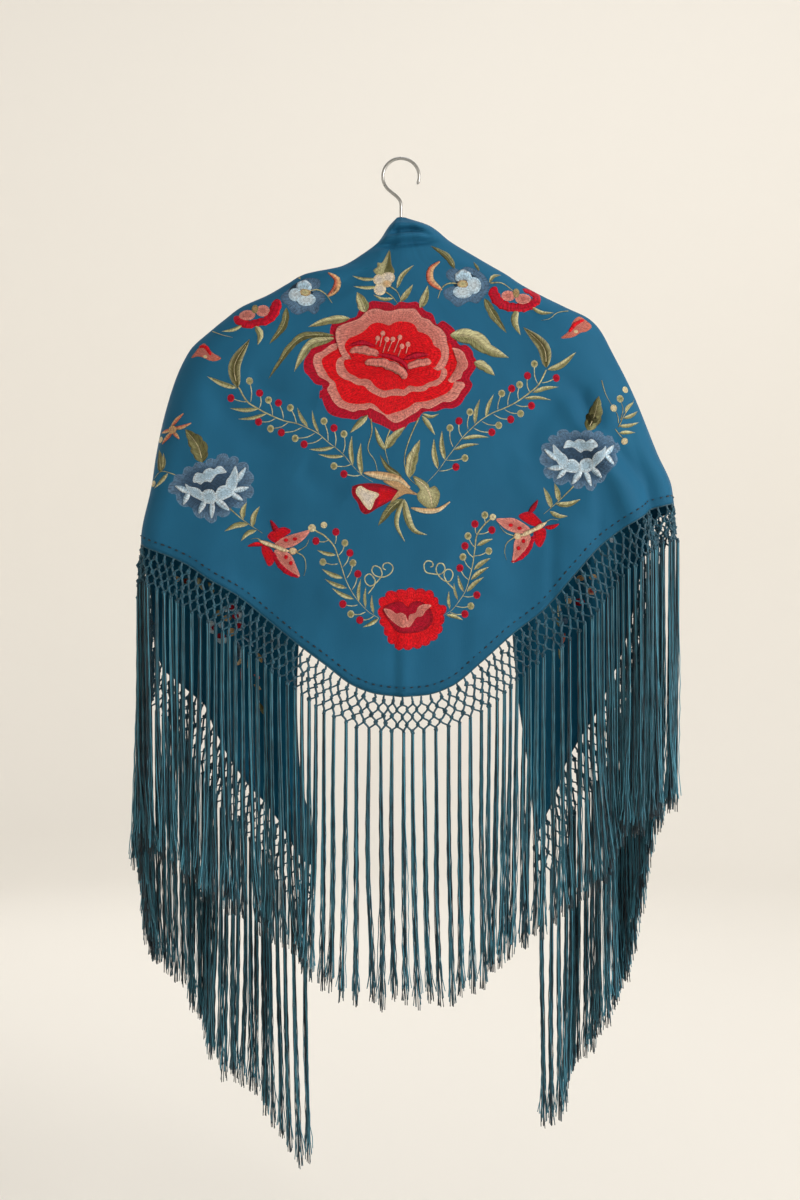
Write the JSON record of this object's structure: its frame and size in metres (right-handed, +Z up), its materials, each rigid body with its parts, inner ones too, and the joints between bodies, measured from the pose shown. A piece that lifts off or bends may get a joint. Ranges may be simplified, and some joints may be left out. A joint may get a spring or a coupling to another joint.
{
  "type": "flamenco shawl on a hanger",
  "caption": "Triangular embroidered shawl with a knotted net edge and long fringe, draped over a plain hanger with a wire hook.",
  "frame": {"origin": "inside top of the bend of the hanger's hook, where it hangs", "axes": "+Z up, +X to the right as the embroidered back is seen, +Y from the embroidered back through to the open front"},
  "size_m": [0.5942, 0.1513, 1.1289],
  "materials": {
    "cloth": "matt crepe",
    "fringe": "soft silky thread",
    "hanger": "satin",
    "hook": "bright wire"
  },
  "bodies": {
    "root": {"shawl_cloth": "cloth", "fringe_back_left": "fringe", "fringe_back_right": "fringe", "fringe_side_left": "fringe", "fringe_side_right": "fringe", "fringe_front_left": "fringe", "fringe_front_right": "fringe", "hanger_body": "hanger", "hanger_hook": "hook"}
  },
  "joints": []
}
